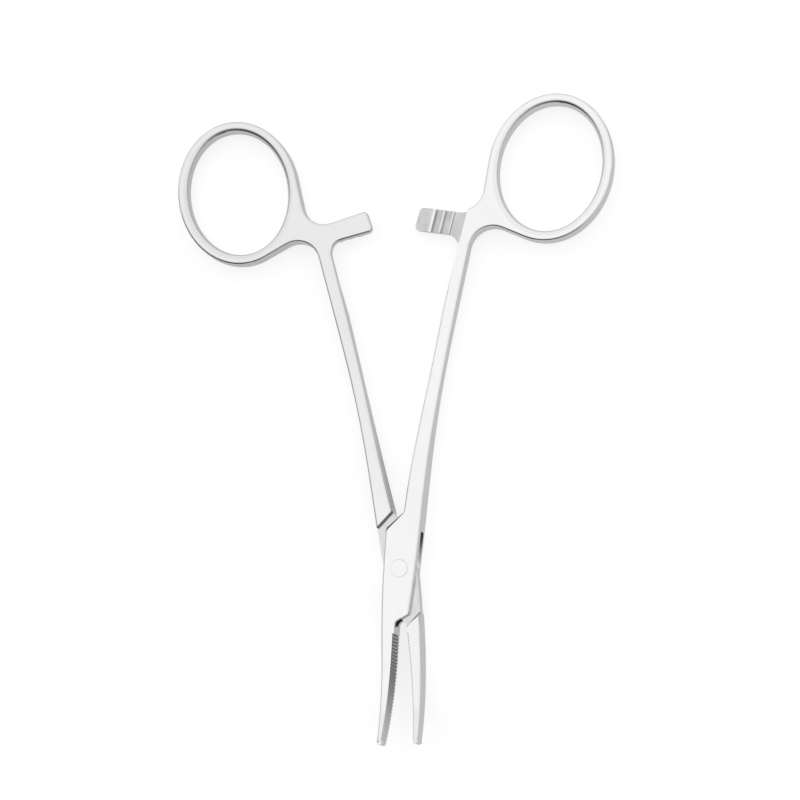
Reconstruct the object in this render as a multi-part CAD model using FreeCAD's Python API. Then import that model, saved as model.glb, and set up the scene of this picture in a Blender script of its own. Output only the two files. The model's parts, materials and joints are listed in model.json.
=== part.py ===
import FreeCAD, Part
import math
import os
from FreeCAD import Vector

# Curved mosquito forceps with a box lock, lying on its side and a little open.
# X runs across the finger rings, Y from the pivot to the rings and Z up from the table.
# The origin is on the pivot's axis, at the underside of the box.
# Each arm is drawn closed, with its ring on the +X side, and then turned open about the pivot.

# Sizes in millimetres, angles in degrees
box_arm_opening = 5.25
tongue_arm_opening = 4.8

# Thicknesses, measured up from the table
box_thickness = 4.7
box_run_out = 2.0
shank_low_thickness = 3.9
shank_thin = 2.6
shank_high_thickness = 2.85
shank_at_tab = 3.0
ring_thickness = 3.1

# Finger rings: an oval hole, leaning outwards, in a slim round-cornered wire
ring_x = 24.1
ring_y = 77.45
hole_long_radius = 12.3
hole_short_radius = 9.85
ring_wire = 2.15
ring_lean = 6.3
ring_hole_bevel = 0.8
web_left_angle = 180.0
web_low_angle = 257.5
web_left_fillet = 4.5
web_low_fillet = 4.5

# Shank: distance from the closing plane to its inner edge, and its width, at four stations
shank_low_y = 21.3
shank_low_in = 1.1
shank_low_width = 3.1
shank_mid_y = 36.0
shank_mid_in = 3.05
shank_mid_width = 2.6
shank_high_y = 50.0
shank_high_in = 5.05
shank_high_width = 2.55
shank_top_y = 62.0
shank_top_in = 6.75
shank_top_width = 2.65
shank_top_slope = 0.15
shank_end_share = 0.75
tongue_shank_trim = 0.5

# Box lock: outline of the wall, the slot through it and the tongue in the slot
lock_half_width = 3.1
lock_upper_flare = 0.55
lock_lower_taper = 0.7
notch_x = 0.15
box_upper_side = 7.5
box_upper_notch = 10.7
box_lower_side = 8.3
box_lower_notch = 9.9
tongue_upper_side = 7.0
tongue_upper_notch = 10.6
tongue_lower_side = 7.3
tongue_lower_notch = 10.7
notch_fillet = 1.0
slot_height = 2.2
slot_end_distance = 7.4
slot_end_angle = 42.0
tongue_gap = 0.05
shoulder_upper_distance = 8.65
shoulder_upper_angle = 129.5
shoulder_lower_distance = 8.6
shoulder_lower_angle = -51.0

# Pivot pin, riveted into both walls and ground flush
pin_diameter = 2.4
pin_head_diameter = 3.2
pin_head_depth = 0.5
pin_running_gap = 0.03

# Jaws, curved upwards
jaw_length = 33.13
jaw_bend_start = 15.0
jaw_rise = 5.4
jaw_root_gap = 0.2
jaw_tip_gap = 0.05
jaw_root_y = 15.3
jaw_root_width = 2.25
jaw_mid_share = 0.55
jaw_tip_width = 1.0
jaw_tip_corner = 0.2
jaw_tip_peak_share = 0.4
jaw_mid_depth = 4.35
jaw_tip_depth = 3.6

# Serrations across the whole inner face of each jaw
groove_pitch = 0.635
groove_depth = 0.22
groove_mouth = 0.44
groove_first = 12.4

# Ratchet tabs, each half the shank's thickness
tab_low_y = 64.2
box_tab_height = 4.2
box_tab_rise = 1.4
tongue_tab_height = 3.4
tongue_tab_rise = 2.0
tab_nose_lift = 1.1
tab_reach = 1.9
tab_corner = 0.9
tab_root_fillet = 2.4
tooth_first = 1.6
tooth_pitch = 1.87
tooth_count = 3
tooth_depth = 0.5
tooth_flank = 0.12
tooth_lean = 11.0
tooth_gap = 0.04
recess_edge_x = 8.2

# Bevel along the outer edges
edge_bevel = 0.35

middle = box_thickness / 2.0
TALL = 3.0 * box_thickness


def at(x, y, z=0.0):
    return Vector(x, y, z)


def line(a, b):
    return Part.LineSegment(a, b).toShape()


def smooth(points):
    """A smooth curve through the given points."""
    curve = Part.BSplineCurve()
    curve.interpolate(points)
    return curve.toShape()


def polar(distance, degrees):
    return at(distance * math.cos(math.radians(degrees)), distance * math.sin(math.radians(degrees)))


def plate(edges, low, high):
    """A flat plate with the given closed outline, from one height to another."""
    face = Part.Face(Part.Wire(edges))
    plate_solid = face.extrude(at(0, 0, high - low))
    plate_solid.translate(at(0, 0, low))
    return plate_solid


def polygon(points):
    return [line(a, b) for a, b in zip(points, points[1:] + points[:1])]


def beyond(distance, degrees):
    """A block that holds all of the lock beyond a distance from the pivot, along one direction."""
    size = 2.0 * TALL
    outward = polar(1.0, degrees)
    along = at(-outward.y, outward.x)
    start = outward * distance
    corners = [start - along * size, start + outward * size - along * size,
               start + outward * size + along * size, start + along * size]
    return plate(polygon(corners), -size, size)


def lock_layer(low, high):
    """A square layer round the lock, from one height to another."""
    return plate(polygon([at(-TALL, -TALL), at(TALL, -TALL), at(TALL, TALL), at(-TALL, TALL)]), low, high)


def ring_point(angle, extra):
    """A point on the ring's oval, moved outwards by extra, at an angle round the oval."""
    t = math.radians(angle)
    lean = -math.radians(ring_lean)
    x = (hole_short_radius + extra) * math.cos(t)
    y = (hole_long_radius + extra) * math.sin(t)
    return at(ring_x + x * math.cos(lean) - y * math.sin(lean),
              ring_y + x * math.sin(lean) + y * math.cos(lean))


def ring_tangent(angle, extra):
    """The direction of travel round the oval at an angle."""
    step = 0.01
    ahead = ring_point(angle + step, extra) - ring_point(angle - step, extra)
    return ahead.normalize()


def oval(extra):
    curve = Part.Ellipse(at(0, 0), hole_long_radius + extra, hole_short_radius + extra)
    edge = curve.toShape()
    edge.rotate(at(0, 0), at(0, 0, 1), 90.0 - ring_lean)
    edge.translate(at(ring_x, ring_y))
    return [edge]


def lever_edges(upper_side, upper_notch, lower_side, lower_notch, trim, top_y):
    """The outline of shank, lock and jaw, from the web of the ring to the tip of the jaw."""
    top_in = shank_top_in + (top_y - shank_top_y) * shank_top_slope
    right = smooth([
        at(top_in + shank_top_width, top_y),
        at(shank_top_in + shank_top_width, shank_top_y),
        at(shank_high_in + shank_high_width, shank_high_y),
        at(shank_mid_in + shank_mid_width, shank_mid_y),
        at(shank_low_in + shank_low_width, shank_low_y),
        at(lock_half_width + lock_upper_flare, box_upper_notch),
        at(lock_half_width, 0),
        at(lock_half_width - lock_lower_taper, -lower_side)])
    inner_root = at(-jaw_root_gap, -lower_notch)
    inner_tip = at(-jaw_tip_gap, -jaw_length + jaw_tip_corner)
    outer_tip = at(-jaw_tip_gap - jaw_tip_width, -jaw_length + jaw_tip_width / 2.0)
    tip = at(-jaw_tip_gap - jaw_tip_peak_share * jaw_tip_width, -jaw_length)
    taper_end = at(-jaw_root_width - jaw_root_gap, -jaw_root_y)
    slope = (outer_tip.x - taper_end.x) / (taper_end.y - outer_tip.y)
    arc_rise = 2.0 * (taper_end.x + lock_half_width) / slope
    arc_end = at(-lock_half_width, taper_end.y + arc_rise)
    arc_middle = at(-lock_half_width + slope * arc_rise / 8.0, taper_end.y + arc_rise / 2.0)
    left = [line(outer_tip, taper_end), Part.Arc(taper_end, arc_middle, arc_end).toShape(),
            line(arc_end, at(-lock_half_width, upper_side))]
    notch = at(notch_x, upper_notch)
    inner = smooth([
        notch,
        at(shank_low_in + trim, shank_low_y),
        at(shank_mid_in + trim / 2.0, shank_mid_y),
        at(shank_high_in, shank_high_y),
        at(shank_top_in, shank_top_y),
        at(top_in, top_y)])
    corner = at(lock_half_width - lock_lower_taper, -lower_side)
    return [right, line(corner, inner_root), line(inner_root, inner_tip),
            Part.Arc(inner_tip, tip, outer_tip).toShape()] + left + [
            line(at(-lock_half_width, upper_side), notch), inner,
            line(at(top_in, top_y), at(top_in + shank_top_width, top_y))]


def web_corner(height):
    """Where the web's left side meets the top of a ratchet tab of a given height."""
    left = ring_point(web_left_angle, ring_wire)
    way = ring_tangent(web_left_angle, ring_wire)
    return left + way * ((left.y - tab_low_y - height) / -way.y)


def tab_top(x, height, rise):
    """A point on the straight upper side of a ratchet tab, which rises towards its nose."""
    root, nose = web_corner(height), -tab_reach + tab_corner
    return at(x, root.y + rise * (root.x - x) / (root.x - nose))


def web_low(x):
    """A point on the web's straight lower side."""
    low = ring_point(web_low_angle, ring_wire)
    way = ring_tangent(web_low_angle, ring_wire)
    return low - way * ((low.x - x) / way.x)


def shank_edge(height):
    """The shank's outer edge beside the top of the ratchet tab."""
    return shank_top_in + shank_top_width + shank_top_slope * (tab_low_y + height - shank_top_y)


def shank_end(height, rise):
    """How far up the shank runs: near the top of the web beside it, but inside it."""
    edge = shank_edge(height)
    low, top = web_low(edge).y, tab_top(edge, height, rise).y
    return low + shank_end_share * (top - low)


def web_edges(height, rise):
    """The web that joins the ring to the shank, tangent to the ring on both sides."""
    inner = shank_top_in + shank_top_width
    low_end = web_low(shank_edge(height) - shank_top_width / 10.0)
    return polygon([ring_point(web_left_angle, ring_wire), web_corner(height),
                    tab_top(inner, height, rise), at(inner, tab_low_y), low_end,
                    ring_point(web_low_angle, ring_wire), at(ring_x, ring_y)])


def tab_edges(height, rise):
    """The ratchet tab, which reaches past the closing plane."""
    inner = shank_top_in + shank_top_width
    return polygon([at(shank_top_in + shank_top_width / 2.0, tab_low_y), at(inner, tab_low_y),
                    tab_top(inner, height, rise), tab_top(-tab_reach + tab_corner, height, rise),
                    at(-tab_reach, tab_low_y + tab_nose_lift)])


def bend_radius(run):
    """The radius of a jaw's middle line, from its length along Y and the rise of its tip."""
    return run * run / (2.0 * jaw_rise) + jaw_rise / 2.0


def side_edges():
    """The arm seen from the side: an even box, a shank that thins and a jaw that curves up."""
    far = ring_y + 2.0 * hole_long_radius
    stations = [(box_upper_notch + box_run_out, box_thickness),
                (shank_low_y + box_run_out, shank_low_thickness), (shank_mid_y, shank_thin),
                (shank_high_y, shank_high_thickness), (shank_top_y, shank_at_tab),
                (ring_y, ring_thickness)]
    upper = [at(0, y, middle + thickness / 2.0) for y, thickness in stations]
    lower = [at(0, y, middle - thickness / 2.0) for y, thickness in reversed(stations)]
    start = at(0, -jaw_bend_start, 0)
    run = jaw_length - jaw_bend_start
    radius = bend_radius(run)

    def on_bend(share, half_depth):
        rise = radius - math.sqrt(radius ** 2 - (share * run) ** 2)
        return at(0, start.y - share * run, middle + rise + half_depth)

    past_tip = 1.05
    top_tip = on_bend(past_tip, jaw_tip_depth / 2.0)
    low_tip = on_bend(past_tip, -jaw_tip_depth / 2.0)
    top_bend = Part.Arc(top_tip, on_bend(jaw_mid_share, jaw_mid_depth / 2.0),
                        start + at(0, 0, box_thickness))
    low_bend = Part.Arc(start, on_bend(jaw_mid_share, -jaw_mid_depth / 2.0), low_tip)
    return [top_bend.toShape(), line(start + at(0, 0, box_thickness), upper[0]), smooth(upper),
            line(upper[-1], at(0, far, upper[-1].z)),
            line(at(0, far, upper[-1].z), at(0, far, lower[0].z)),
            line(at(0, far, lower[0].z), lower[0]), smooth(lower), line(lower[-1], start),
            low_bend.toShape(), line(low_tip, top_tip)]


def corner_near(shape, point):
    """The upright edge of a plate that stands nearest to a point in plan."""
    best, least = None, 1e9
    for edge in shape.Edges:
        a, b = edge.Vertexes[0].Point, edge.Vertexes[-1].Point
        upright = math.hypot(a.x - b.x, a.y - b.y) < 1e-4 and abs(a.z - b.z) > 1.0
        distance = math.hypot(a.x - point.x, a.y - point.y)
        if upright and distance < least:
            best, least = edge, distance
    return best


def rim_edges(shape, chosen):
    """The edges where an upright side meets the upper or lower face, if their middle is chosen."""
    flats, sides = [], set()
    for face in shape.Faces:
        u_low, u_high, v_low, v_high = face.ParameterRange
        rise = abs(face.normalAt((u_low + u_high) / 2.0, (v_low + v_high) / 2.0).z)
        if rise > 0.7:
            flats.append(face)
        elif rise < 1e-3:
            sides.update(edge.hashCode() for edge in face.Edges)
    found = []
    for face in flats:
        for edge in face.Edges:
            centre = edge.valueAt((edge.FirstParameter + edge.LastParameter) / 2.0)
            if edge.hashCode() in sides and chosen(centre):
                found.append(edge)
    return found


def in_ring(point):
    """Whether a point lies inside the middle line of the ring's wire."""
    lean = math.radians(ring_lean)
    x, y = point.x - ring_x, point.y - ring_y
    across = (x * math.cos(lean) - y * math.sin(lean)) / (hole_short_radius + ring_wire / 2.0)
    along = (x * math.sin(lean) + y * math.cos(lean)) / (hole_long_radius + ring_wire / 2.0)
    return math.hypot(across, along) < 1.0


def blank(upper_side, upper_notch, lower_side, lower_notch, trim, tab_height, tab_rise):
    """One forged arm before its lock, ratchet and serrations are cut."""
    top_y = shank_end(tab_height, tab_rise)
    body = plate(lever_edges(upper_side, upper_notch, lower_side, lower_notch, trim, top_y), -TALL, TALL)
    ring = plate(oval(ring_wire), -TALL, TALL)
    web = plate(web_edges(tab_height, tab_rise), -TALL, TALL)
    tab = plate(tab_edges(tab_height, tab_rise), -TALL, TALL)
    arm = body.fuse([ring, web, tab]).removeSplitter()
    nose = tab_top(-tab_reach + tab_corner, tab_height, tab_rise)
    for corner, radius in ((web_corner(tab_height), web_left_fillet),
                           (web_low(shank_edge(tab_height)), web_low_fillet),
                           (at(shank_top_in, tab_low_y), tab_root_fillet), (nose, tab_corner),
                           (at(-tab_reach, tab_low_y + tab_nose_lift), tab_corner),
                           (at(notch_x, upper_notch), notch_fillet),
                           (at(-jaw_root_gap, -lower_notch), notch_fillet)):
        arm = arm.makeFillet(radius, [corner_near(arm, corner)])
    arm = arm.cut(plate(oval(0.0), -TALL, TALL))
    side = Part.Face(Part.Wire(side_edges()))
    side.translate(at(-jaw_length, 0, 0))
    side = side.extrude(at(2.0 * ring_x + 2.0 * jaw_length, 0, 0))
    arm = arm.common(side).Solids[0]
    arm = arm.makeChamfer(edge_bevel, rim_edges(
        arm, lambda p: not in_ring(p) and (p.y > upper_notch + 1.0 or p.x > lock_half_width / 2.0)))
    return arm.makeChamfer(ring_hole_bevel, rim_edges(arm, in_ring))


def pin_shape():
    """The pivot pin: a plain shank with a cone at each end, flush with the box."""
    half, head = pin_diameter / 2.0, pin_head_diameter / 2.0
    profile = polygon([at(0, 0, 0), at(head, 0, 0), at(half, 0, pin_head_depth),
                       at(half, 0, box_thickness - pin_head_depth), at(head, 0, box_thickness),
                       at(0, 0, box_thickness)])
    return Part.Face(Part.Wire(profile)).revolve(at(0, 0, 0), at(0, 0, 1), 360)


def tooth_tool():
    """What is cut from above the lower ratchet tab: its recess, with saw teeth in the floor."""
    crest = middle - tooth_gap
    root = crest - tooth_depth
    shift = math.cos(math.radians(tooth_lean))
    clear = -2.0 * box_tab_height
    points = [at(clear, 0, TALL), at(clear, 0, root), at(-tab_reach, 0, root)]
    for number in range(tooth_count):
        ridge = (tooth_first + number * tooth_pitch) * shift
        points += [at(ridge, 0, crest), at(ridge + tooth_flank, 0, root)]
    wall = recess_edge_x * shift
    points += [at(wall, 0, root), at(wall, 0, TALL)]
    tool = Part.Face(Part.Wire(polygon(points))).extrude(at(0, -4.0 * clear, 0))
    tool.translate(at(0, 2.0 * clear, 0))
    tool.rotate(at(0, 0), at(0, 0, 1), -tooth_lean)
    tool.translate(at(0, tab_low_y + box_tab_height / 2.0, 0))
    return tool


def groove_tools(offset):
    """The V-shaped grooves across the inner face of a jaw, square to its curved middle line."""
    tools = []
    radius = bend_radius(jaw_length - jaw_bend_start)
    reach = groove_first + offset
    while reach < jaw_length - groove_pitch / 2.0:
        bent = max(0.0, reach - jaw_bend_start)
        share = (reach - groove_first) / (jaw_length - groove_first)
        face_x = -jaw_root_gap + share * (jaw_root_gap - jaw_tip_gap)
        outside = face_x + groove_depth / 2.0
        points = [at(face_x - groove_depth, 0), at(outside, -groove_mouth), at(outside, groove_mouth)]
        tool = Part.Face(Part.Wire(polygon(points))).extrude(at(0, 0, 2.0 * box_thickness))
        tool.translate(at(0, 0, -box_thickness))
        tool.rotate(at(0, 0), at(1, 0, 0), -math.degrees(math.asin(bent / radius)))
        tool.translate(at(0, -reach, middle + radius - math.sqrt(radius ** 2 - bent ** 2)))
        tools.append(tool)
        reach += groove_pitch
    return tools


def box_arm():
    """The arm that carries the box: two walls with the slot for the tongue between them."""
    arm = blank(box_upper_side, box_upper_notch, box_lower_side, box_lower_notch, 0.0,
                box_tab_height, box_tab_rise)
    slot = lock_layer(middle - slot_height / 2.0, middle + slot_height / 2.0)
    slot = slot.cut([beyond(slot_end_distance, slot_end_angle),
                     beyond(slot_end_distance, slot_end_angle + 180.0)])
    arm = arm.cut([slot, tooth_tool(), pin_shape()] + groove_tools(0.0))
    arm.rotate(at(0, 0), at(0, 0, 1), -box_arm_opening)
    return arm


def tongue_arm():
    """The arm whose thin tongue passes through the box, between its two pairs of shoulders."""
    arm = blank(tongue_upper_side, tongue_upper_notch, tongue_lower_side, tongue_lower_notch,
                tongue_shank_trim, tongue_tab_height, tongue_tab_rise)
    half = slot_height / 2.0 - tongue_gap
    for low, high in ((-TALL, middle - half), (middle + half, TALL)):
        arm = arm.cut(lock_layer(low, high).cut([
            beyond(shoulder_upper_distance, 180.0 - shoulder_upper_angle),
            beyond(shoulder_lower_distance, 180.0 - shoulder_lower_angle)]))
    teeth = tooth_tool().mirror(at(0, 0, middle), at(0, 0, 1))
    bore = Part.makeCylinder(pin_diameter / 2.0 + pin_running_gap, 2.0 * TALL, at(0, 0, -TALL))
    arm = arm.cut([teeth, bore] + groove_tools(groove_pitch / 2.0))
    arm = arm.mirror(at(0, 0, 0), at(1, 0, 0))
    arm.rotate(at(0, 0), at(0, 0, 1), tongue_arm_opening)
    return arm


def main():
    os.makedirs("parts", exist_ok=True)
    nodes = {"box_arm": box_arm(), "tongue_arm": tongue_arm(), "pivot_pin": pin_shape()}
    for name, shape in nodes.items():
        shape.Solids[0].exportStep("parts/" + name + ".step")


main()
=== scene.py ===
import json
import math

import bmesh
import bpy
from mathutils import Matrix, Vector


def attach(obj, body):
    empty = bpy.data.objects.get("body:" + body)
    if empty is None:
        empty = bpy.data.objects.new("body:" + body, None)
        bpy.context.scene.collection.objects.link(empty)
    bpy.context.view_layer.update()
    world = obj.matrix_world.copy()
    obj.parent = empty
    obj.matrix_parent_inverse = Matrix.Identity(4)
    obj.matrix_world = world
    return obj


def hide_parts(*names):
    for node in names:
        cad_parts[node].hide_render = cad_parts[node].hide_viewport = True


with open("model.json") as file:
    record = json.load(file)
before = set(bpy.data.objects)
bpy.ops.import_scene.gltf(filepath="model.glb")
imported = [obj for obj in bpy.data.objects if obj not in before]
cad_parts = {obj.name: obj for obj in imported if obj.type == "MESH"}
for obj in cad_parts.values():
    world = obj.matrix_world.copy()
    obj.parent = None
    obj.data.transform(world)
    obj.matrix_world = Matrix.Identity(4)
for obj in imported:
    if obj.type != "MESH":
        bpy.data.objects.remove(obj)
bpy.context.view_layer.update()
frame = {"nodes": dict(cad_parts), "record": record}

# Lengths in metres and angles in degrees
MM = 0.001

# Camera: above the table, to the right of the instrument and in front of the jaws
camera_place = Vector((123.3, -70.0, 526.9)) * MM
camera_aim = Vector((0.50, 32.33, 2.35)) * MM
camera_focus_px = 2898.0
camera_sensor_mm = 36.0
camera_clip = (0.01, 10.0)
photo_px = 800.0
photo_turn = 1.51

# How far each arm leans from the closing plane in the photograph's pose
arm_lean = {"box_arm": -5.25, "tongue_arm": 4.8, "pivot_pin": 0.0}

# Rounding of the edges, and the angle from which an edge stays a crease
jaw_edge_round = 0.5 * MM
hole_rim_round = 0.55 * MM
rim_round = 0.24 * MM
jaw_round_steps = 4
rim_round_steps = 3
crease_angle = 32.0
doubles_distance = 0.001 * MM
flat_angle = 0.05

# Edges of box and jaw that are rounded: their place on the closed arm, and how their two faces lie
jaw_outer_x = -0.6 * MM
jaw_reach_y = (-32.5 * MM, 9.0 * MM)
slot_reach_z = (1.15 * MM, 3.55 * MM)
slot_start_y = -9.0 * MM
jaw_edge_angle = 50.0
wall_normal_z = 0.3
top_normal_z = 0.6

# Edges of the sloping rims: their angle, how the slope lies, and the reach of a hole from its middle
rim_edge_angle = (35.0, 60.0)
rim_normal_z = (0.6, 0.8)
hole_reach = 14.0 * MM

# Steel: the part of the light that each surface reflects, and painted shade and highlight laid over it, for
# crests and grooves at root and tip
steel_tint = (1.0, 1.0, 0.995)
box_arm_shade = 0.92
pin_shade = 0.92
tongue_jaw_shade = 0.90
tongue_ring_shade = 0.83
# Painted shade on the tongue's face where it lies in the lock
tongue_face_painted_shade = 0.72
# Painted shade on the walls at the lock's steps
step_painted_shade = 0.22
# Painted shade on the shank walls and box sides near the lock
wall_painted_shade = 0.50
# Painted shade in the ratchet recess and painted highlight on its crests
recess_painted_shade = 0.62
ratchet_crest_painted_highlight = 1.0
# Painted shade on the serrations: crests and grooves, at the root and at the tip
crest_painted_shade = (0.50, 0.95)
groove_painted_shade = (0.07, 0.50)

# Noise in the steel: stretch along the arm and scale of each kind, and how strongly it shows
hairline_noise = (40.0, 9000.0)
mottle_noise = (2.0, 700.0)
patch_noise = (2.0, 120.0)
noise_detail = 4.0
noise_coarseness = 0.6
noise_middle = 0.5
patch_middle = 0.4
hairline_darkening = 0.03
mottle_darkening = 0.04
patch_darkening = 0.06
tongue_face_mottle = 0.3
recess_mottle = 0.35
steel_roughness = 0.17
roughness_spread = 0.05
hairline_bump = 0.12
hairline_height = 0.01 * MM

# Regions of painted shade and highlight: reach along the axes of the arm, lowest and highest
soft_edge = 0.05 * MM
shaded_tongue_face = {"Y": (-12.0 * MM, 12.0 * MM), "Z": (3.35 * MM, 3.45 * MM)}
ratchet_recess = {"X": (-40.0 * MM, 8.6 * MM), "Y": (63.0 * MM, 72.0 * MM), "Z": (1.5 * MM, 2.33 * MM)}
ratchet_crests_z = (2.18 * MM, 2.33 * MM)
box_front_wall = {"X": (-1.5 * MM, 2.2 * MM), "Y": (-11.0 * MM, -7.2 * MM), "Z": (3.4 * MM, 4.35 * MM)}
box_ledge = {"X": (-3.05 * MM, 0.1 * MM), "Z": (3.4 * MM, 9.4 * MM)}
box_side = {"Z": (3.45 * MM, 4.3 * MM)}
box_side_y = (-8.0 * MM, -3.0 * MM)
box_side_soft = 3.0 * MM
box_side_share = 0.7

# Tongue arm: where its shade fades from jaw to ring, and the side walls of its shank near the lock, which get
# painted shade
tongue_fade_y = (-5.0 * MM, 45.0 * MM)
shank_wall_start_y = (10.5 * MM, 12.0 * MM)
shank_wall_end_y = (14.0 * MM, 40.0 * MM)
shank_wall_top = (5.1 * MM, 5.3 * MM)
shank_fall = 0.085

# Steps of the lock, where the wall gets painted shade: a line's distance and direction from the pivot, the
# band along it, and its softness
upper_step = (8.65 * MM, 129.5)
upper_band = (-0.12 * MM, 0.04 * MM, 0.04 * MM)
upper_step_wall = {"Z": (3.35 * MM, 4.55 * MM)}
lower_step = (8.6 * MM, -51.0)
lower_band = (-0.04 * MM, 0.13 * MM, 0.03 * MM)
lower_step_wall = {"Z": (3.45 * MM, 9.4 * MM)}
box_shoulder = (6.98 * MM, 138.5)
shoulder_band = (-0.2 * MM, 0.3 * MM, soft_edge)

# Serrations, darkened with painted shade: side of the closing plane, strength, reach, gap to the plane at tip
# and root, and depth
jaw_side = {"box_arm": -1.0, "tongue_arm": 1.0}
groove_share = {"box_arm": 1.0, "tongue_arm": 0.55}
groove_y = (-32.4 * MM, -12.2 * MM)
groove_end_soft = 0.1 * MM
groove_gap = (0.05 * MM, 0.2 * MM)
groove_depth = (-0.3 * MM, 0.22 * MM)
groove_dark_depth = (0.02 * MM, 0.176 * MM)
groove_fade_y = (-32.4 * MM, -18.26 * MM)

# Light
white = (1.0, 1.0, 1.0, 1.0)
softbox_place = Vector((-120.0, 80.0, 620.0)) * MM
softbox_size = 0.62
softbox_power = 0.10
sky_level = 0.95
sky_lean = 0.80
sky_rise = (0.12, 0.62)
horizon_level = 0.34
horizon_across = 0.26
horizon_along = 0.26

# Floor: its colour, how white the camera sees it, and how grey the metal mirrors it
floor_size = 3.0
floor_colour = (0.9, 0.9, 0.9, 1.0)
floor_white = 1.25
floor_seen = 0.6
floor_mirrored = 0.75
mirrored_level = 0.58


class Value:
    """A shader socket on which arithmetic can be written."""

    def __init__(self, tree, socket):
        self.tree = tree
        self.socket = socket

    def node(self, kind, settings=None, output=0, **inputs):
        """Adds a node: its settings first, then its sockets, each by name or as i with its place."""
        made = self.tree.nodes.new(kind)
        for name, value in (settings or {}).items():
            setattr(made, name, value)
        for name, value in inputs.items():
            key = int(name[1:]) if name[0] == "i" and name[1:].isdigit() else name.replace("_", " ")
            socket = made.inputs[key]
            if isinstance(value, Value):
                self.tree.links.new(value.socket, socket)
            else:
                socket.default_value = value
        return Value(self.tree, made.outputs[output])

    def maths(self, operation, *terms):
        """Adds a Math node."""
        sockets = {"i%d" % place: term for place, term in enumerate(terms)}
        return self.node("ShaderNodeMath", {"operation": operation}, **sockets)

    def __add__(self, other):
        return self.maths("ADD", self, other)

    __radd__ = __add__

    def __sub__(self, other):
        return self.maths("SUBTRACT", self, other)

    def __rsub__(self, other):
        return self.maths("SUBTRACT", other, self)

    def __mul__(self, other):
        return self.maths("MULTIPLY", self, other)

    __rmul__ = __mul__

    def clamped(self):
        """Kept between 0 and 1."""
        return self.maths("MINIMUM", self.maths("MAXIMUM", self, 0.0), 1.0)

    def step(self, low, high):
        """0 below low, 1 above high and a smooth rise between them."""
        return self.node("ShaderNodeMapRange", {"interpolation_type": "SMOOTHSTEP"}, i0=self, i1=low, i2=high)

    def within(self, low, high, soft):
        """1 between low and high and 0 outside, with soft edges."""
        return self.step(low - soft, low) * (1.0 - self.step(high, high + soft))


def empty_tree(owner):
    """Clears the nodes of a material or world and gives a value to start expressions from."""
    owner.use_nodes = True
    owner.node_tree.nodes.clear()
    return Value(owner.node_tree, None)


def finish_tree(start, kind, shader):
    """Links a shader to the tree's output."""
    output = start.tree.nodes.new(kind)
    start.tree.links.new(shader.socket, output.inputs["Surface"])


def axes(start, vector):
    """A vector's X, Y and Z."""
    return {axis: start.node("ShaderNodeSeparateXYZ", output=axis, Vector=vector) for axis in "XYZ"}


def ray(start, kind):
    """1 for rays of a kind, such as those that leave the camera, and 0 for others."""
    return start.node("ShaderNodeLightPath", output="Is %s Ray" % kind)


def arm_place(start, lean):
    """Object coordinates turned with the arm, so that Y runs along it."""
    place = start.node("ShaderNodeTexCoord", output="Object")
    turn = (0.0, 0.0, math.radians(lean))
    return start.node("ShaderNodeMapping", {"vector_type": "TEXTURE"}, Vector=place, Rotation=turn)


def grain(start, place, stretch, scale):
    """Noise drawn out along the arm."""
    drawn = start.node("ShaderNodeMapping", {"vector_type": "TEXTURE"}, Vector=place,
                       Scale=(1.0, stretch, 1.0))
    return start.node("ShaderNodeTexNoise", Vector=drawn, Scale=scale, Detail=noise_detail,
                      Roughness=noise_coarseness)


def mixed(share, first, second):
    """The first value where share is 0, the second where it is 1, and a blend between."""
    return first + share * (second - first)


def region(place, reaches):
    """1 where a point is within the reach of every axis given and 0 elsewhere, with soft edges."""
    inside = [place[axis].within(*reach, soft_edge) for axis, reach in reaches.items()]
    return math.prod(inside[1:], start=inside[0])


def beyond_line(place, distance, degrees):
    """How far a point lies beyond a line in plan, given by its distance and direction from the pivot."""
    turn = math.radians(degrees)
    return place["X"] * math.cos(turn) + place["Y"] * math.sin(turn) - distance


def tongue_arm_paint(place, mottle):
    """The tongue arm's shade, with painted shade on the tongue's face, on the wall at each step and on the
    shank walls.
    """
    y, z = place["Y"], place["Z"]
    shade = mixed(y.step(*tongue_fade_y), tongue_jaw_shade, tongue_ring_shade)
    # Painted shade on the tongue's face in the lock, with a mottle
    tongue_face_dark = tongue_face_painted_shade + tongue_face_mottle * (mottle - noise_middle)
    shade = mixed(region(place, shaded_tongue_face), shade, tongue_face_dark)
    # Painted shade on the wall at each step
    upper = beyond_line(place, *upper_step).within(*upper_band) * region(place, upper_step_wall)
    shade = mixed(upper, shade, step_painted_shade)
    lower = beyond_line(place, *lower_step).within(*lower_band) * region(place, lower_step_wall)
    shade = mixed(lower, shade, step_painted_shade)
    # Painted shade on the shank walls near the lock, up to a height that falls along the shank
    walls = y.step(*shank_wall_start_y) * (1.0 - y.step(*shank_wall_end_y))
    walls = walls * (1.0 - (z + shank_fall * y).step(*shank_wall_top))
    return mixed(walls, shade, wall_painted_shade)


def box_arm_paint(place, mottle):
    """The box arm's shade: painted shade in the ratchet recess, on the lock's walls and on the box sides,
    painted highlight on the crests.
    """
    # Painted shade in the ratchet recess, with painted highlight on the crests and a mottle
    floor = mixed(place["Z"].step(*ratchet_crests_z), recess_painted_shade, ratchet_crest_painted_highlight)
    floor = floor + recess_mottle * (mottle - noise_middle)
    shade = mixed(region(place, ratchet_recess), box_arm_shade, floor)
    # Painted shade on the wall at the front of the lock and along the box's shoulder
    wall = region(place, box_front_wall)
    ledge = beyond_line(place, *box_shoulder).within(*shoulder_band) * region(place, box_ledge)
    shade = mixed(wall + ledge, shade, step_painted_shade)
    # Painted shade on the box sides near the lock, kept off the front wall
    side = place["Y"].within(*box_side_y, box_side_soft) * region(place, box_side)
    return mixed(box_side_share * side * (1.0 - wall), shade, wall_painted_shade)


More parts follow.
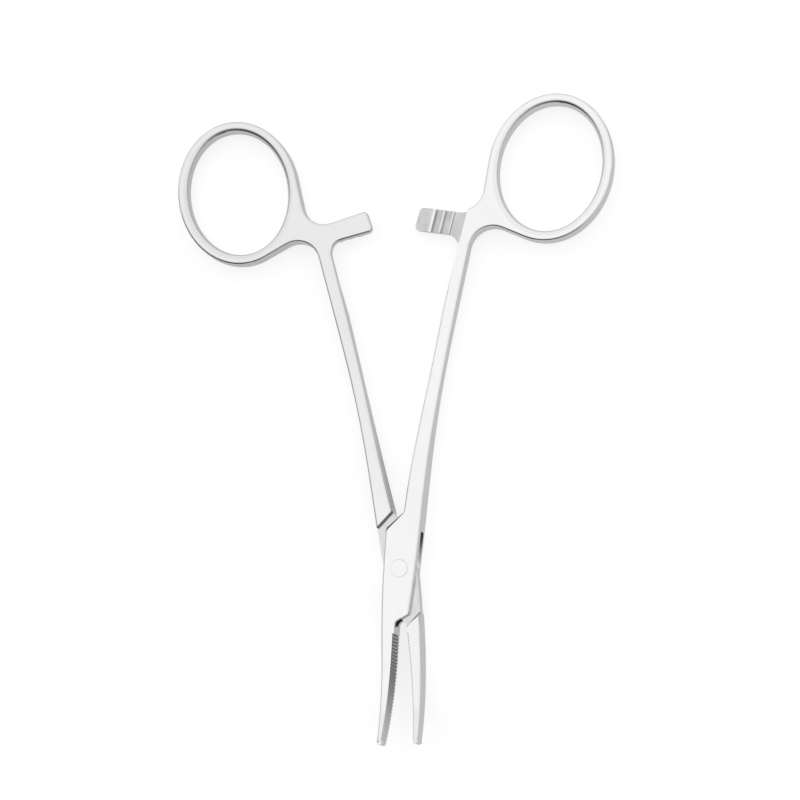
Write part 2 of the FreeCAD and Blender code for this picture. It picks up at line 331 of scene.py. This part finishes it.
def serrated(name, place, shade):
    """A shade with painted shade laid over the jaw's strip of serrations, darker in the grooves than on the
    crests.
    """
    y = place["Y"]
    slope = (groove_gap[0] - groove_gap[1]) / (groove_y[0] - groove_y[1])
    depth = place["X"] * jaw_side[name] - (groove_gap[1] + (y - groove_y[1]) * slope)
    strip = y.within(*groove_y, groove_end_soft) * depth.within(*groove_depth, soft_edge)
    tip = 1.0 - y.step(*groove_fade_y)
    # Painted shade, darker in the grooves than on the crests and lighter towards the tip
    serration_painted_shade = mixed(depth.step(*groove_dark_depth), mixed(tip, *crest_painted_shade), mixed(tip, *groove_painted_shade))
    return mixed(strip * groove_share[name], shade, serration_painted_shade)


def satin_steel(name, lean):
    """Fine-ground stainless steel: hairlines along the arm over a soft mottle and wide, faint patches, on the
    arm's painted shade and highlight.
    """
    material = bpy.data.materials.new(name + "_steel")
    start = empty_tree(material)
    turned = arm_place(start, lean)
    hairlines = grain(start, turned, *hairline_noise)
    mottle = grain(start, turned, *mottle_noise)
    patches = grain(start, turned, *patch_noise)
    place = axes(start, turned)
    if name == "box_arm":
        shade = serrated(name, place, box_arm_paint(place, mottle))
    elif name == "tongue_arm":
        shade = serrated(name, place, tongue_arm_paint(place, mottle))
    else:
        shade = pin_shade
    darkening = patch_darkening * (patches - patch_middle) + mottle_darkening * mottle
    shade = shade * (1.0 - darkening - hairline_darkening * hairlines)
    colour = start.node("ShaderNodeVectorMath", {"operation": "SCALE"}, i0=steel_tint, Scale=shade)
    uneven = (hairlines - noise_middle) + (mottle - noise_middle)
    rough = steel_roughness + roughness_spread * uneven
    bump = start.node("ShaderNodeBump", Strength=hairline_bump, Distance=hairline_height, Height=hairlines)
    shader = start.node("ShaderNodeBsdfPrincipled", Base_Color=colour, Roughness=rough, Metallic=1.0,
                        Normal=bump)
    finish_tree(start, "ShaderNodeOutputMaterial", shader)
    return material


def closed_place(point, node):
    """A point in plan as its arm lies when closed, with the jaw on the -X side."""
    turn = math.radians(-arm_lean[node])
    x = point.x * math.cos(turn) - point.y * math.sin(turn)
    y = point.x * math.sin(turn) + point.y * math.cos(turn)
    return (-x if node == "tongue_arm" else x), y


def edge_angle(edge):
    """The angle between an edge's two faces, and 0 for an edge with another number of faces."""
    return math.degrees(edge.calc_face_angle(0.0)) if len(edge.link_faces) == 2 else 0.0


def jaw_edges(work, node):
    """The square edges along the outer side of the box and jaw, without those of the slot."""
    found = []
    for edge in work.edges:
        if edge_angle(edge) < jaw_edge_angle:
            continue
        wall, top = sorted(abs(face.normal.z) for face in edge.link_faces)
        centre = (edge.verts[0].co + edge.verts[1].co) / 2.0
        x, y = closed_place(centre, node)
        in_slot = slot_reach_z[0] < centre.z < slot_reach_z[1] and y > slot_start_y
        outer = x < jaw_outer_x and jaw_reach_y[0] < y < jaw_reach_y[1]
        if wall < wall_normal_z and top > top_normal_z and outer and not in_slot:
            found.append(edge)
    return found


def rim_edges(work, centre, inside):
    """The edges of the sloping rims: those round the finger hole at centre, or else all the others."""
    found = []
    for edge in work.edges:
        if not rim_edge_angle[0] < edge_angle(edge) < rim_edge_angle[1]:
            continue
        slopes = [face for face in edge.link_faces if rim_normal_z[0] < abs(face.normal.z) < rim_normal_z[1]]
        if slopes:
            inward = (centre - edge.verts[0].co).to_2d()
            in_hole = inward.dot(slopes[0].normal.to_2d()) > 0.0 and inward.length < hole_reach
            if in_hole == inside:
                found.append(edge)
    return found


def round_off(work, edges, width, steps):
    """Rounds the given edges."""
    bmesh.ops.bevel(work, geom=edges, offset=width, offset_type="OFFSET", segments=steps, profile=0.5,
                    affect="EDGES", clamp_overlap=False)


def ring_centre(node):
    """The middle of the arm's finger hole."""
    openings = frame["record"]["physics"]["openings"]
    low, high = next(opening["box_m"] for opening in openings if opening["name"].startswith(node))
    return (Vector(low) + Vector(high)) / 2.0


def dressed(node, body, material):
    """A smooth-shaded copy of a CAD piece with its edges rounded as if by polishing."""
    mesh = frame["nodes"][node].data.copy()
    mesh.name = node + "_polished"
    work = bmesh.new()
    work.from_mesh(mesh)
    bmesh.ops.remove_doubles(work, verts=work.verts, dist=doubles_distance)
    bmesh.ops.dissolve_limit(work, angle_limit=math.radians(flat_angle), verts=work.verts, edges=work.edges)
    if node != "pivot_pin":
        centre = ring_centre(node)
        round_off(work, jaw_edges(work, node), jaw_edge_round, jaw_round_steps)
        round_off(work, rim_edges(work, centre, True), hole_rim_round, rim_round_steps)
        round_off(work, rim_edges(work, centre, False), rim_round, rim_round_steps)
    crease = math.radians(crease_angle)
    for edge in work.edges:
        edge.smooth = len(edge.link_faces) == 2 and edge.calc_face_angle(0.0) < crease
    for face in work.faces:
        face.smooth = True
    work.to_mesh(mesh)
    work.free()
    mesh.materials.clear()
    mesh.materials.append(material)
    piece = bpy.data.objects.new(node + "_polished", mesh)
    bpy.context.scene.collection.objects.link(piece)
    weights = piece.modifiers.new("even_normals", "WEIGHTED_NORMAL")
    weights.keep_sharp = True
    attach(piece, body)
    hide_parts(node)


def table_top():
    """A pale floor that looks white to the camera, keeps a soft shadow and is mirrored as grey."""
    material = bpy.data.materials.new("white_table")
    start = empty_tree(material)
    matt = start.node("ShaderNodeBsdfDiffuse", Color=floor_colour)
    glow = start.node("ShaderNodeEmission", Color=white, Strength=floor_white)
    image = start.node("ShaderNodeEmission", Color=white, Strength=mirrored_level)
    seen = (ray(start, "Camera") + ray(start, "Transmission")).clamped() * floor_seen
    mirrored = ray(start, "Glossy") * floor_mirrored
    shader = start.node("ShaderNodeMixShader", i0=seen, i1=matt, i2=glow)
    shader = start.node("ShaderNodeMixShader", i0=mirrored, i1=shader, i2=image)
    finish_tree(start, "ShaderNodeOutputMaterial", shader)
    mesh = bpy.data.meshes.new("table_top")
    half = floor_size / 2.0
    corners = [(-half, -half, 0), (half, -half, 0), (half, half, 0), (-half, half, 0)]
    mesh.from_pydata(corners, [], [(0, 1, 2, 3)])
    mesh.materials.append(material)
    floor = bpy.data.objects.new("table_top", mesh)
    bpy.context.scene.collection.objects.link(floor)


def white_tent():
    """A sky that is white to the camera and whose light falls off to the horizon, most beyond the jaws."""
    world = bpy.data.worlds.new("white_tent")
    bpy.context.scene.world = world
    start = empty_tree(world)
    way = axes(start, start.node("ShaderNodeTexCoord", output="Generated"))
    low = (horizon_level + horizon_across * way["X"] + horizon_along * way["Y"]).clamped()
    level = mixed((way["Z"] + sky_lean * way["Y"]).step(*sky_rise), low, sky_level)
    seen = (ray(start, "Camera") + ray(start, "Transmission")).clamped()
    sky = start.node("ShaderNodeBackground", Color=white, Strength=seen + level * (1.0 - seen))
    finish_tree(start, "ShaderNodeOutputWorld", sky)


def softbox():
    """One large, weak lamp overhead."""
    lamp = bpy.data.lights.new("softbox", "AREA")
    lamp.shape = "SQUARE"
    lamp.size = softbox_size
    lamp.energy = softbox_power
    made = bpy.data.objects.new("softbox", lamp)
    made.location = softbox_place
    made.rotation_euler = (-softbox_place).to_track_quat("-Z", "Y").to_euler()
    bpy.context.scene.collection.objects.link(made)


def camera():
    """The camera, turned about its axis so that the instrument leans as in the picture."""
    data = bpy.data.cameras.new("camera")
    data.sensor_width = camera_sensor_mm
    data.lens = camera_sensor_mm * camera_focus_px / photo_px
    data.clip_start, data.clip_end = camera_clip
    made = bpy.data.objects.new("camera", data)
    bpy.context.scene.collection.objects.link(made)
    bpy.context.scene.camera = made
    upward = Vector((math.sin(math.radians(photo_turn)), math.cos(math.radians(photo_turn)), 0.0))
    back = (camera_place - camera_aim).normalized()
    side = upward.cross(back).normalized()
    turn = Matrix((side, back.cross(side), back)).transposed()
    made.location = camera_place
    made.rotation_euler = turn.to_euler()


body_of = {node: body for body, nodes in frame["record"]["behaviour"]["bodies"].items() for node in nodes}
for node, lean in arm_lean.items():
    dressed(node, body_of[node], satin_steel(node, lean))
table_top()
white_tent()
softbox()
camera()
bpy.context.scene.view_settings.view_transform = "Standard"
